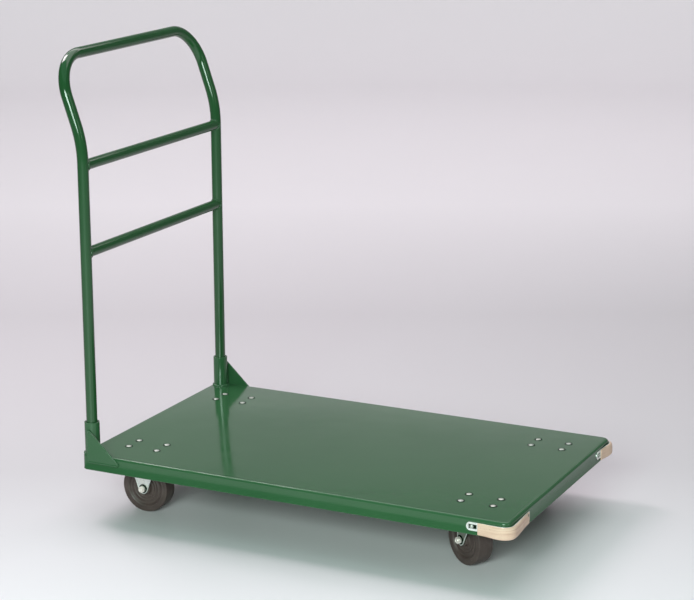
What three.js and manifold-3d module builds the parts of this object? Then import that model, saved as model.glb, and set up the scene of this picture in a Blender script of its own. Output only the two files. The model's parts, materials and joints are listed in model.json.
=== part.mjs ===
// Platform trolley: a folded steel deck on two rigid and two swivel casters, with a push handle that
// stands in two sockets at the rear and a padded bumper round each front corner.
// Millimetres. +X is the way the trolley is pushed, +Y is its left side, +Z is up and the floor is z = 0.

import * as THREE from "three";
import { mergeVertices } from "three/addons/utils/BufferGeometryUtils.js";
import Module from "manifold-3d";

// ---- driving dimensions ----------------------------------------------------------------------------

const GAP = 0.3; // clearance left between pieces that touch
const BITE = 1; // how far two bodies run into each other where they are joined

const DECK = { length: 918, width: 550, top: 135, skirt: 32, corner: 15, roll: 5, sheet: 2.5 };
const STIFFENER = { spacing: 190, width: 70, crown: 36, height: 24, sheet: 2 };

const TUBE = { outer: 22.2, wall: 1.65 };
const POST = { inset: 17.9, y: 258.4 }; // centre line, in from the deck's rear edge and out from its middle
const BEND = { z: 758.7, lean: 18.9, radius: 231 };
const GRIP = { rise: 171.9, corner: 79.3 }; // rise is measured along the leaning part
const CROSSBAR = { outer: 21.3, wall: 1.65, heights: [542.9, 716.1] };

const SOCKET = { outer: 30.4, bore: 22.9, height: 64.5, bead: 1.2, chamfer: 0.8 };
const GUSSET = { sheet: 3, rear: 1, length: 72, foot: 120.5, apex: 185.8, tip: 3 };
const GUSSET_WELD = { length: 7, width: 6, rear: 0.5, below: 4 };

const HEAD = { edge: 0.8, rise: 0.7 }; // where a domed head's rim turns in, as parts of its radius and height
const PLATE = { length: 90, width: 62, thick: 2.6, corner: 6 };
const BOLT_GRID = { x: 65.2, y: 39.7 };
const BOLT = { shank: 6.35, hole: 7.4, head: 13.6, headHeight: 2.2, nut: 12.6, nutHeight: 5.6, tail: 3 };
const RIGID = { x: -362.9, y: 176.8, legHalf: 23.5, shoulder: 85 };
const SWIVEL = { x: 364.4, y: 180.3, trail: 32, legFront: 8, shoulderDrop: 4 };
const SWIVEL_REST = { right: -31.5, left: 14 }; // degrees that each swivel fork is turned at rest

const WHEEL = { radius: 50.8, width: 32, edge: 1, hub: 39, bore: 8.5 };
const WHEEL_FACE = { collar: 25, web: 25, dish: 66, rim: 71 }; // diameters, but for the web's thickness
const FORK = { inside: 41, sheet: 2.5, eye: 10.5, axleHole: 8.6 };
const AXLE = { shank: 7.9, flats: 12.7, head: 5.3, nut: 6, tail: 2.2 };
const RACE = { outer: 57, rim: 3, inner: 50, top: 8, gap: 0.4, disc: 3 };
const CROWN = { top: 115.5, thick: 3, front: 27, rear: 38 };
const KINGPIN = { shank: 10, head: 18, headHeight: 5 };

// A bumper is laid out along the deck's edge: "along" is the distance from the middle of the corner.
const STRAP = { bottom: 111.2, top: 127.7, thick: 1.6, start: -80.8, bulge: 2.4 };
const PAD = { bottom: 103.6, top: 127.8, start: -57.8, end: 90.8, full: 14, edge: 1.6, thick: 4, round: 0.7 };
const STRAP_SHORT = 2; // how far the strap stops short of the pad's end
const TAB_SLOT = { from: -75, to: -60, height: 6.4 };
const SCREW = { tab: -69.5, end: 82.8, shank: 4, hole: 5, head: 8.4, headHeight: 2.6, length: 12 };
const END_SCREW = { head: 5.2, below: 4 }; // below: from the strap's top edge down to its centre

// Facets round the pieces, and how far a chord may stand off a bent tube's centre line.
const ROUND = 20;
const SMALL_ROUND = 10;
const HOLE_ROUND = 8;
const WHEEL_ROUND = 28;
const TUBE_ROUND = 16;
const BEND_TOLERANCE = 0.3;

// ---- finishes --------------------------------------------------------------------------------------

const finish = (settings) => new THREE.MeshStandardMaterial(settings);
const PAINT = finish({ color: 0x2f6b3c, roughness: 0.2, metalness: 0 });
const ZINC = finish({ color: 0xd5d8d8, roughness: 0.3, metalness: 1 });
const RUBBER = finish({ color: 0x2c2a28, roughness: 0.65, metalness: 0 });
const LEATHER = finish({ color: 0xd9b794, roughness: 0.6, metalness: 0 });

// ---- joining and cutting ---------------------------------------------------------------------------

const wasm = await Module();
wasm.setup();

// A closed three.js geometry as a solid that can be joined and cut.
function solid(geometry) {
  const plain = geometry.clone();
  plain.deleteAttribute("normal");
  plain.deleteAttribute("uv");
  const merged = mergeVertices(plain, 1e-3);
  return new wasm.Manifold(
    new wasm.Mesh({
      numProp: 3,
      vertProperties: merged.attributes.position.array,
      triVerts: new Uint32Array(merged.index.array),
    }),
  );
}

// A joined or cut solid as a geometry again.
function geometryOf(made) {
  const mesh = made.getMesh();
  const geometry = new THREE.BufferGeometry();
  geometry.setAttribute("position", new THREE.BufferAttribute(new Float32Array(mesh.vertProperties), 3));
  geometry.setIndex(new THREE.BufferAttribute(new Uint32Array(mesh.triVerts), 1));
  geometry.computeVertexNormals();
  return geometry;
}

const joined = (first, ...rest) => rest.reduce((whole, piece) => whole.add(piece), first);
const cut = (whole, holes) => holes.reduce((left, hole) => left.subtract(hole), whole);

// ---- basic forms -----------------------------------------------------------------------------------

function roundedRectangle(length, width, radius) {
  const x = length / 2 - radius;
  const y = width / 2 - radius;
  const outline = new THREE.Shape();
  outline.absarc(x, y, radius, 0, Math.PI / 2);
  outline.absarc(-x, y, radius, Math.PI / 2, Math.PI);
  outline.absarc(-x, -y, radius, Math.PI, 1.5 * Math.PI);
  outline.absarc(x, -y, radius, 1.5 * Math.PI, 2 * Math.PI);
  return outline;
}

// A flat sheet lying between two heights.
function slab(outline, bottom, top, curveSegments = 2) {
  const depth = top - bottom;
  const sheet = new THREE.ExtrudeGeometry(outline, { depth, curveSegments, bevelEnabled: false });
  return solid(sheet.translate(0, 0, bottom));
}

// An outline drawn in X and Z, given a thickness along Y and centred on y.
function upright(outline, thick, y) {
  const plate = new THREE.ExtrudeGeometry(outline, { depth: thick, curveSegments: 6, bevelEnabled: false });
  return solid(plate.rotateX(Math.PI / 2).translate(0, y + thick / 2, 0));
}

function cylinder(diameter, bottom, top, sides = ROUND) {
  const rod = new THREE.CylinderGeometry(diameter / 2, diameter / 2, top - bottom, sides);
  return rod.rotateX(Math.PI / 2).translate(0, 0, (top + bottom) / 2);
}

// A turned piece, standing along Z: each point of the section is [radius, height].
function turned(section, sides = ROUND) {
  const points = section.map(([radius, height]) => new THREE.Vector2(radius, height));
  return new THREE.LatheGeometry(points, sides).rotateX(Math.PI / 2);
}

function ring(outer, bore, bottom, top, sides = ROUND) {
  const section = [
    [bore / 2, bottom],
    [outer / 2, bottom],
    [outer / 2, top],
    [bore / 2, top],
  ];
  return turned([...section, section[0]], sides);
}

// Turns a piece that stands along Z so that its top points along -Y.
const alongY = (geometry) => geometry.rotateX(Math.PI / 2);

// ---- the exported tree -----------------------------------------------------------------------------

const trolley = new THREE.Group();

function place(parent, name, geometry, material) {
  const mesh = new THREE.Mesh(geometry, material);
  mesh.name = name;
  parent.add(mesh);
}

function group(parent, x, y, degrees = 0) {
  const made = new THREE.Group();
  made.position.set(x, y, 0);
  made.rotation.z = THREE.MathUtils.degToRad(degrees);
  parent.add(made);
  made.updateMatrix();
  return made;
}

const DECK_UNDER = DECK.top - DECK.sheet;
const DECK_FOOT = DECK.top - DECK.skirt;
const PLATE_TOP = DECK_UNDER - GAP;
const PLATE_UNDER = PLATE_TOP - PLATE.thick;
const POST_X = -DECK.length / 2 + POST.inset;

const SIDES = [["right", -1], ["left", 1]];

// The side, its sign in Y and the turn of its bumper, which is the right one turned a quarter round.
const CORNERS = [["right", -1, 0], ["left", 1, 90]];

const CASTERS = [];
for (const [side, sign] of SIDES) {
  CASTERS.push({ name: "rear_" + side, x: RIGID.x, y: sign * RIGID.y });
  CASTERS.push({ name: "front_" + side, x: SWIVEL.x, y: sign * SWIVEL.y });
}

// The four bolt places of a caster, about its own centre.
function boltPlaces() {
  const places = [];
  for (const x of [-BOLT_GRID.x / 2, BOLT_GRID.x / 2]) {
    for (const y of [-BOLT_GRID.y / 2, BOLT_GRID.y / 2]) {
      places.push([x, y]);
    }
  }
  return places;
}

// ---- bumpers ---------------------------------------------------------------------------------------

// A point of the deck's outline, pushed out by offset. The corner of the deck's rectangle is at the
// origin; negative distances run along the face towards -X, positive ones along the face towards +Y.
function edgePoint(along, offset) {
  const r = DECK.corner;
  const turn = (r * Math.PI) / 4;
  if (along < -turn) {
    return new THREE.Vector2(along + turn - r, -offset);
  }
  if (along > turn) {
    return new THREE.Vector2(offset, along - turn + r);
  }
  const angle = along / r - Math.PI / 4;
  return new THREE.Vector2((r + offset) * Math.cos(angle) - r, (r + offset) * Math.sin(angle) + r);
}

// How much of the bulge a bumper has at a distance along it: none at its ends, all round the corner.
function swell(along) {
  const rise = THREE.MathUtils.smoothstep(along, PAD.start, -PAD.full);
  const fall = THREE.MathUtils.smoothstep(along, PAD.full, PAD.end);
  return rise * (1 - fall);
}

const strapInside = (along) => GAP + STRAP.bulge * swell(along);
const strapOutside = (along) => strapInside(along) + STRAP.thick;
const padInside = (along) => strapOutside(along) + GAP;
const padOutside = (along) => padInside(along) + PAD.edge + (PAD.thick - PAD.edge) * swell(along);

// The plan of a band that follows the deck's edge between an inner and an outer offset.
function bandOutline(from, to, inside, outside, inset = 0) {
  const stations = [];
  for (const [start, end, count] of [[from, -12, 6], [-12, 12, 6], [12, to, 7]]) {
    for (let i = 0; i < count; i += 1) {
      stations.push(start + ((end - start) * i) / count);
    }
  }
  stations.push(to);
  const outer = stations.map((along) => edgePoint(along, outside(along) - inset));
  const inner = stations.map((along) => edgePoint(along, inside(along) + inset)).reverse();
  return new THREE.Shape([...outer, ...inner]);
}

// A piece built along -Y, moved to a place on the deck's edge and turned to face out from it.
function onEdge(geometry, along, height) {
  const foot = edgePoint(along, 0);
  return geometry.rotateZ(along > 0 ? Math.PI / 2 : 0).translate(foot.x, foot.y, height);
}

const STRAP_MIDDLE = (STRAP.bottom + STRAP.top) / 2;
const END_SCREW_Z = STRAP.top - END_SCREW.below;
const SCREW_PLACES = [
  { name: "tab_screw", along: SCREW.tab, z: STRAP_MIDDLE, out: strapOutside(SCREW.tab), head: SCREW.head },
  { name: "end_screw", along: SCREW.end, z: END_SCREW_Z, out: padOutside(SCREW.end), head: END_SCREW.head },
];

function screwHole({ along, z }) {
  return solid(onEdge(alongY(cylinder(SCREW.hole, -SCREW.length, SCREW.length, HOLE_ROUND)), along, z));
}

// A block through the strap's tab with round ends, between two distances along it.
function roundEnded(from, to, height) {
  const outline = roundedRectangle(to - from, height, height / 2 - 0.01);
  const depth = SCREW.length;
  const block = new THREE.ExtrudeGeometry(outline, { depth, curveSegments: 3, bevelEnabled: false });
  const middle = edgePoint((from + to) / 2, 0).x;
  return solid(block.rotateX(Math.PI / 2).translate(middle, depth / 2, STRAP_MIDDLE));
}

function strapShape() {
  const outline = bandOutline(STRAP.start, PAD.end - STRAP_SHORT, strapInside, strapOutside);
  const band = slab(outline, STRAP.bottom, STRAP.top);
  // seen from outside, the tab's free end is round
  const height = STRAP.top - STRAP.bottom;
  const end = new THREE.BoxGeometry(BITE + height / 2, SCREW.length, 2 * height);
  end.translate(edgePoint(STRAP.start, 0).x + height / 4 - BITE / 2, 0, STRAP_MIDDLE);
  const corners = solid(end).subtract(roundEnded(STRAP.start, STRAP.start + 2 * height, height));
  const slot = roundEnded(TAB_SLOT.from, TAB_SLOT.to, TAB_SLOT.height);
  return cut(band, [corners, slot, screwHole(SCREW_PLACES[1])]);
}

function padShape() {
  const { round } = PAD;
  const outline = bandOutline(PAD.start + round, PAD.end - round, padInside, padOutside, round);
  const pad = new THREE.ExtrudeGeometry(outline, {
    depth: PAD.top - PAD.bottom - 2 * round,
    bevelThickness: round,
    bevelSize: round,
    bevelSegments: 1,
  });
  return cut(solid(pad.translate(0, 0, PAD.bottom + round)), [screwHole(SCREW_PLACES[1])]);
}

function screwShape(place) {
  const r = place.head / 2;
  const seat = place.out + GAP;
  const section = [
    [0, seat - SCREW.length],
    [SCREW.shank / 2, seat - SCREW.length + 2],
    [SCREW.shank / 2, seat],
    [r, seat],
    [r * HEAD.edge, seat + SCREW.headHeight * HEAD.rise],
    [0, seat + SCREW.headHeight],
  ];
  return onEdge(alongY(turned(section, SMALL_ROUND)), place.along, place.z);
}

const bumperCorners = CORNERS.map(([side, sign, degrees]) => ({
  side,
  at: group(trolley, DECK.length / 2, (sign * DECK.width) / 2, degrees),
}));

for (const { side, at } of bumperCorners) {
  const name = "bumper_" + side + "_";
  place(at, name + "strap", geometryOf(strapShape()), ZINC);
  place(at, name + "pad", geometryOf(padShape()), LEATHER);
  for (const screw of SCREW_PLACES) {
    place(at, name + screw.name, screwShape(screw), ZINC);
  }
}

// ---- deck ------------------------------------------------------------------------------------------

// A block with its top edges rolled over, standing from a bottom to a top height.
function rolledBlock(inset, roll, bottom, top) {
  const trim = inset + roll;
  const outline = roundedRectangle(DECK.length - 2 * trim, DECK.width - 2 * trim, DECK.corner - trim);
  const block = new THREE.ExtrudeGeometry(outline, {
    depth: top - bottom,
    curveSegments: 3,
    bevelThickness: roll,
    bevelSize: roll,
    bevelSegments: 2,
  });
  return solid(block.translate(0, 0, bottom - roll));
}

// Everything between two heights, over the whole deck.
function layer(bottom, top) {
  const block = new THREE.BoxGeometry(2 * DECK.length, 2 * DECK.width, top - bottom);
  return solid(block.translate(0, 0, (top + bottom) / 2));
}

// The flat sheet that the load stands on, drilled for the casters' bolts.
function sheetShape() {
  const holes = [];
  for (const caster of CASTERS) {
    for (const [x, y] of boltPlaces()) {
      const hole = cylinder(BOLT.hole, 0, 2 * DECK.top, HOLE_ROUND);
      holes.push(solid(hole.translate(caster.x + x, caster.y + y, 0)));
    }
  }
  return cut(rolledBlock(0, DECK.roll, DECK_FOOT, DECK.top), [layer(-DECK.top, DECK_UNDER), ...holes]);
}

// The whole skirt under the sheet's edge, drilled for the bumpers' screws.
function skirtRing() {
  const holes = [];
  for (const { at } of bumperCorners) {
    for (const screw of SCREW_PLACES) {
      holes.push(screwHole(screw).transform(at.matrix.elements));
    }
  }
  const { length, width, corner, sheet } = DECK;
  const inside = slab(roundedRectangle(length - 2 * sheet, width - 2 * sheet, corner - sheet), 0, DECK.top);
  const outside = rolledBlock(0, DECK.roll, DECK_FOOT, DECK.top);
  return cut(outside, [inside, layer(DECK_UNDER - GAP, 2 * DECK.top), layer(-DECK.top, DECK_FOOT), ...holes]);
}

// A wall's share of the skirt: it meets its neighbours on the diagonals of the deck's corners.
function wallShare(length, width) {
  const end = length / 2 - GAP / Math.SQRT2;
  const reach = 2 * DECK.corner;
  const outline = new THREE.Shape([
    new THREE.Vector2(-end, -width / 2),
    new THREE.Vector2(end, -width / 2),
    new THREE.Vector2(end - reach, reach - width / 2),
    new THREE.Vector2(reach - end, reach - width / 2),
  ]);
  return slab(outline, 0, DECK.top);
}

place(trolley, "deck_sheet", geometryOf(sheetShape()), PAINT);

// Each wall is named for its side; the right one's share is turned round to make the others'.
const skirt = skirtRing();
["right", "front", "left", "rear"].forEach((name, quarter) => {
  const share = quarter % 2 ? wallShare(DECK.width, DECK.length) : wallShare(DECK.length, DECK.width);
  const wall = skirt.intersect(share.rotate([0, 0, 90 * quarter]));
  place(trolley, "deck_skirt_" + name, geometryOf(wall), PAINT);
});

// A hat channel across the deck's underside, flanges up.
function stiffenerGeometry() {
  const { width, crown, height, sheet } = STIFFENER;
  const top = PLATE_TOP;
  const right = [
    [width / 2, top],
    [width / 2, top - sheet],
    [crown / 2, top - sheet],
    [crown / 2, top - height],
  ];
  const left = right.map(([x, z]) => [-x, z]).reverse();
  const hollow = [
    [sheet - crown / 2, top],
    [sheet - crown / 2, top - height + sheet],
    [crown / 2 - sheet, top - height + sheet],
    [crown / 2 - sheet, top],
  ];
  const section = [...right, ...left, ...hollow];
  const outline = new THREE.Shape(section.map(([x, z]) => new THREE.Vector2(x, z)));
  const length = DECK.width - 2 * (DECK.roll + GAP);
  const channel = new THREE.ExtrudeGeometry(outline, { depth: length, bevelEnabled: false });
  return channel.rotateX(Math.PI / 2).translate(0, length / 2, 0);
}

for (const [name, step] of [["rear", -1], ["middle", 0], ["front", 1]]) {
  place(group(trolley, step * STIFFENER.spacing, 0), "deck_stiffener_" + name, stiffenerGeometry(), PAINT);
}

// ---- handle ----------------------------------------------------------------------------------------

// A curve whose equal steps are its stations, so that a straight run takes one step and a bend several.
class StationCurve extends THREE.Curve {
  constructor(stations) {
    super();
    this.stations = stations;
  }

  station(u) {
    return this.stations[Math.round(u * (this.stations.length - 1))];
  }

  getPointAt(u) {
    return this.station(u).point.clone();
  }

  getTangentAt(u) {
    return this.station(u).tangent.clone();
  }
}

// The stations of a path through the given corners, each inner corner rounded to its radius.
function bentPath(corners, radii) {
  const heading = (a, b) => b.clone().sub(a).normalize();
  const stations = [{ point: corners[0], tangent: heading(corners[0], corners[1]) }];
  radii.forEach((radius, i) => {
    const [before, corner, after] = corners.slice(i, i + 3);
    const into = heading(before, corner);
    const out = heading(corner, after);
    const angle = into.angleTo(out);
    const inward = out.clone().addScaledVector(into, -into.dot(out)).normalize();
    const start = corner.clone().addScaledVector(into, -radius * Math.tan(angle / 2));
    const steps = Math.ceil(angle / (2 * Math.acos(1 - BEND_TOLERANCE / radius)));
    for (let k = 0; k <= steps; k += 1) {
      const a = (angle * k) / steps;
      const point = start.clone();
      point.addScaledVector(into, radius * Math.sin(a));
      point.addScaledVector(inward, radius * (1 - Math.cos(a)));
      const tangent = into.clone().multiplyScalar(Math.cos(a)).addScaledVector(inward, Math.sin(a));
      stations.push({ point, tangent });
    }
  });
  const last = corners.length - 1;
  stations.push({ point: corners[last], tangent: heading(corners[last - 1], corners[last]) });
  return stations;
}

function tubeSection(outer, wall) {
  const section = new THREE.Shape().absarc(0, 0, outer / 2, 0, 2 * Math.PI);
  section.holes.push(new THREE.Path().absarc(0, 0, outer / 2 - wall, 0, 2 * Math.PI));
  return section;
}

function hoopGeometry() {
  const lean = THREE.MathUtils.degToRad(BEND.lean);
  const gripX = POST_X - GRIP.rise * Math.sin(lean);
  const gripZ = BEND.z + GRIP.rise * Math.cos(lean);
  const corners = [
    new THREE.Vector3(POST_X, -POST.y, DECK.top + GAP),
    new THREE.Vector3(POST_X, -POST.y, BEND.z),
    new THREE.Vector3(gripX, -POST.y, gripZ),
    new THREE.Vector3(gripX, POST.y, gripZ),
    new THREE.Vector3(POST_X, POST.y, BEND.z),
    new THREE.Vector3(POST_X, POST.y, DECK.top + GAP),
  ];
  const stations = bentPath(corners, [BEND.radius, GRIP.corner, GRIP.corner, BEND.radius]);
  return new THREE.ExtrudeGeometry(tubeSection(TUBE.outer, TUBE.wall), {
    extrudePath: new StationCurve(stations),
    steps: stations.length - 1,
    curveSegments: TUBE_ROUND / 2,
  });
}

function crossbarShape(height) {
  const length = 2 * POST.y;
  const section = tubeSection(CROSSBAR.outer, CROSSBAR.wall);
  const bar = new THREE.ExtrudeGeometry(section, {
    depth: length,
    curveSegments: TUBE_ROUND / 2,
    bevelEnabled: false,
  });
  bar.rotateX(Math.PI / 2).translate(POST_X, length / 2, height);
  const posts = SIDES.map(([, sign]) => {
    const post = cylinder(TUBE.outer + 2 * GAP, height - TUBE.outer, height + TUBE.outer);
    return solid(post.translate(POST_X, sign * POST.y, 0));
  });
  return cut(solid(bar), posts);
}

place(trolley, "handle_hoop", hoopGeometry(), PAINT);
["crossbar_lower", "crossbar_upper"].forEach((name, i) => {
  place(trolley, name, geometryOf(crossbarShape(CROSSBAR.heights[i])), PAINT);
});

// ---- sockets and gussets ---------------------------------------------------------------------------

function socketGeometry() {
  const foot = DECK.top + GAP;
  const top = DECK.top + SOCKET.height;
  const outer = SOCKET.outer / 2;
  const bore = SOCKET.bore / 2;
  const section = [
    [bore, foot],
    [outer + SOCKET.bead, foot],
    [outer + SOCKET.bead / 3, foot + SOCKET.bead / 3],
    [outer, foot + SOCKET.bead],
    [outer, top - SOCKET.chamfer],
    [outer - SOCKET.chamfer, top],
    [bore, top],
    [bore, foot],
  ];
  return turned(section);
}

// The triangular plate welded to the outside of a socket and of the deck's skirt.
function gussetShape(sign) {
  const rear = POST_X - GUSSET.rear;
  const outline = new THREE.Shape();
  outline.moveTo(rear, GUSSET.foot);
  outline.lineTo(rear + GUSSET.length, GUSSET.foot);
  outline.lineTo(rear + GUSSET.length, GUSSET.foot + GUSSET.tip);
  outline.lineTo(rear + 2 * GUSSET.tip, GUSSET.apex);
  outline.lineTo(rear + GUSSET.tip, GUSSET.apex);
  const inner = DECK.width / 2 + GAP;
  const plate = upright(outline, GUSSET.sheet, sign * (inner + GUSSET.sheet / 2));
  // the weld that fills the space between the plate and the socket
  const { length, width, rear: behind, below } = GUSSET_WELD;
  const weldFoot = DECK.top + SOCKET.bead + BITE;
  const weldHeight = GUSSET.apex - below - weldFoot;
  const weld = new THREE.BoxGeometry(length, width, weldHeight);
  weld.translate(POST_X + length / 2 - behind, sign * (inner - width / 2 + BITE), weldFoot + weldHeight / 2);
  const socket = cylinder(SOCKET.outer + 2 * GAP, 0, 2 * GUSSET.apex).translate(POST_X, sign * POST.y, 0);
  return joined(plate, cut(solid(weld), [solid(socket)]));
}

for (const [side, sign] of SIDES) {
  place(group(trolley, POST_X, sign * POST.y), "post_socket_" + side, socketGeometry(), PAINT);
  place(trolley, "gusset_" + side, geometryOf(gussetShape(sign)), PAINT);
}

// ---- caster bolts ----------------------------------------------------------------------------------

// A round-headed bolt down through the deck and the caster's plate, with its nut run up.
function casterBoltShape() {
  const seat = DECK.top + GAP;
  const nutTop = PLATE_UNDER - GAP;
  const nutUnder = nutTop - BOLT.nutHeight;
  const r = BOLT.head / 2;
  const shank = BOLT.shank / 2;
  const section = [
    [0, nutUnder - BOLT.tail],
    [shank, nutUnder - BOLT.tail],
    [shank, seat],
    [r, seat],
    [r * HEAD.edge, seat + BOLT.headHeight * HEAD.rise],
    [0, seat + BOLT.headHeight],
  ];
  return joined(solid(turned(section, SMALL_ROUND)), solid(cylinder(BOLT.nut, nutUnder, nutTop, 6)));
}

for (const caster of CASTERS) {
  const at = group(trolley, caster.x, caster.y);
  boltPlaces().forEach(([x, y], i) => {
    place(group(at, x, y), "caster_bolt_" + caster.name + "_" + (i + 1), geometryOf(casterBoltShape()), ZINC);
  });
}

// ---- wheels and axles ------------------------------------------------------------------------------

const LEG_OUTSIDE = FORK.inside / 2 + FORK.sheet;

// A moulded rubber wheel, dished on both faces, lying along Y.
function wheelGeometry() {
  const { radius, width, edge, hub, bore } = WHEEL;
  const { collar, web, dish, rim } = WHEEL_FACE;
  const face = [
    [bore / 2, hub / 2],
    [collar / 2, hub / 2],
    [collar / 2 + edge, web / 2],
    [dish / 2, web / 2 - edge],
    [rim / 2, width / 2],
    [radius - edge, width / 2],
    [radius, width / 2 - edge],
  ];
  const back = face.map(([r, y]) => [r, -y]);
  return alongY(turned([...back, ...face.slice().reverse(), back[0]], WHEEL_ROUND)).translate(0, 0, radius);
}

function axleBoltShape() {
  const seat = LEG_OUTSIDE + GAP;
  const shank = cylinder(AXLE.shank, -seat - BITE, seat + AXLE.nut + AXLE.tail);
  const head = cylinder(AXLE.flats / Math.cos(Math.PI / 6), -seat - AXLE.head, -seat, 6);
  return joined(solid(alongY(shank)), solid(alongY(head))).translate([0, 0, WHEEL.radius]);
}

function axleNutShape() {
  const seat = LEG_OUTSIDE + GAP;
  const block = cylinder(AXLE.flats / Math.cos(Math.PI / 6), seat, seat + AXLE.nut, 6);
  const bore = cylinder(AXLE.shank + 2 * GAP, 0, 2 * seat);
  return cut(solid(alongY(block)), [solid(alongY(bore))]).translate([0, 0, WHEEL.radius]);
}

// The pieces on an axle, the same on every caster.
function placeAxle(at, name) {
  place(at, name + "_wheel", wheelGeometry(), RUBBER);
  place(at, name + "_axle_bolt", geometryOf(axleBoltShape()), ZINC);
  place(at, name + "_axle_nut", geometryOf(axleNutShape()), ZINC);
}

// ---- caster plates and forks -----------------------------------------------------------------------

function casterPlate() {
  const holes = boltPlaces().map(([x, y]) => {
    return solid(cylinder(BOLT.hole, 0, DECK.top, HOLE_ROUND).translate(x, y, 0));
  });
  const outline = roundedRectangle(PLATE.length, PLATE.width, PLATE.corner);
  return cut(slab(outline, PLATE_UNDER, PLATE_TOP), holes);
}

// A leg's outline in X and Z: the eye round the axle at axleX, widening to the given edges above it.
function legOutline(axleX, rear, front, shoulder, top) {
  const eye = FORK.eye;
  const z = WHEEL.radius;
  // where a line from a point touches the eye, on the rear (-1) or front (1) side
  const touch = (x, side) => {
    const dx = x - axleX;
    const dz = shoulder - z;
    const spread = Math.acos(eye / Math.hypot(dx, dz));
    return Math.atan2(dz, dx) - side * spread;
  };
  const outline = new THREE.Shape();
  outline.moveTo(front, top);
  outline.lineTo(rear, top);
  outline.lineTo(rear, shoulder);
  outline.absarc(axleX, z, eye, touch(rear, -1), touch(front, 1) + 2 * Math.PI);
  outline.lineTo(front, shoulder);
  return outline;
}

function forkLegs(outline, axleX) {
  const middle = (FORK.inside + FORK.sheet) / 2;
  const hole = alongY(cylinder(FORK.axleHole, -FORK.inside, FORK.inside)).translate(axleX, 0, WHEEL.radius);
  return SIDES.map(([, sign]) => cut(upright(outline, FORK.sheet, sign * middle), [solid(hole)]));
}

function rigidForkShape() {
  const { legHalf, shoulder } = RIGID;
  const legs = forkLegs(legOutline(0, -legHalf, legHalf, shoulder, PLATE_UNDER + BITE), 0);
  return joined(casterPlate(), ...legs);
}

for (const [side, sign] of SIDES) {
  const at = group(trolley, RIGID.x, sign * RIGID.y);
  const name = "rear_" + side;
  place(at, name + "_fork", geometryOf(rigidForkShape()), ZINC);
  placeAxle(at, name);
}

// The bolted plate of a swivel caster, with the upper ball race pressed into it.
function swivelPlateShape() {
  const under = PLATE_UNDER - RACE.top;
  const cup = ring(RACE.outer, RACE.outer - 2 * RACE.rim, under, PLATE_UNDER + BITE);
  const disc = ring(RACE.outer - BITE, KINGPIN.shank, PLATE_UNDER - RACE.disc, PLATE_UNDER + BITE);
  const bore = cylinder(KINGPIN.shank + 2 * GAP, 0, DECK.top);
  return cut(joined(casterPlate(), solid(cup), solid(disc)), [solid(bore)]);
}

// The turning fork: legs, crown and lower ball race. The pivot is on Z and the wheel trails behind it.
function swivelForkShape() {
  const crownUnder = CROWN.top - CROWN.thick;
  const width = FORK.inside + 2 * FORK.sheet;
  const nose = cylinder(2 * CROWN.front, crownUnder, CROWN.top);
  const back = new THREE.BoxGeometry(CROWN.rear, width, CROWN.thick);
  back.translate(-CROWN.rear / 2, 0, CROWN.top - CROWN.thick / 2);
  const raceTop = PLATE_UNDER - RACE.disc - RACE.gap;
  const race = cylinder(RACE.inner, CROWN.top - BITE, raceTop);
  const bore = cylinder(KINGPIN.shank + 2 * GAP, 0, DECK.top);
  const { trail, legFront, shoulderDrop } = SWIVEL;
  const shoulder = crownUnder - shoulderDrop;
  const legs = forkLegs(legOutline(-trail, -CROWN.rear, legFront, shoulder, crownUnder + BITE), -trail);
  return cut(joined(solid(nose), solid(back), solid(race), ...legs), [solid(bore)]);
}

// The rivet that holds the fork up against the plate.
function kingpinGeometry() {
  const crownUnder = CROWN.top - CROWN.thick;
  const headTop = crownUnder - GAP;
  const shank = KINGPIN.shank / 2;
  const head = KINGPIN.head / 2;
  const section = [
    [0, headTop - KINGPIN.headHeight],
    [head * 0.7, headTop - KINGPIN.headHeight],
    [head, headTop - KINGPIN.headHeight * 0.4],
    [head, headTop],
    [shank, headTop],
    [shank, PLATE_TOP],
    [0, PLATE_TOP],
  ];
  return turned(section);
}

for (const [side, sign] of SIDES) {
  const name = "front_" + side;
  const at = group(trolley, SWIVEL.x, sign * SWIVEL.y);
  place(at, name + "_plate", geometryOf(swivelPlateShape()), ZINC);
  place(at, name + "_kingpin", kingpinGeometry(), ZINC);
  const turning = group(at, 0, 0, SWIVEL_REST[side]);
  place(turning, name + "_fork", geometryOf(swivelForkShape()), ZINC);
  placeAxle(group(turning, -SWIVEL.trail, 0), name);
}

// ---- the trolley stands with the middle of its box over the origin ---------------------------------

const box = new THREE.Box3().setFromObject(trolley, true);
trolley.position.x = -(box.min.x + box.max.x) / 2;

const part = new THREE.Group();
part.add(trolley);

export default part;
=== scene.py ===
"""Looks of the platform trolley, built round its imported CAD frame. Metres, in the frame's own axes."""

import json
import math
from collections import namedtuple

import bmesh
import bpy
from mathutils import Matrix, Vector, noise


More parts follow.
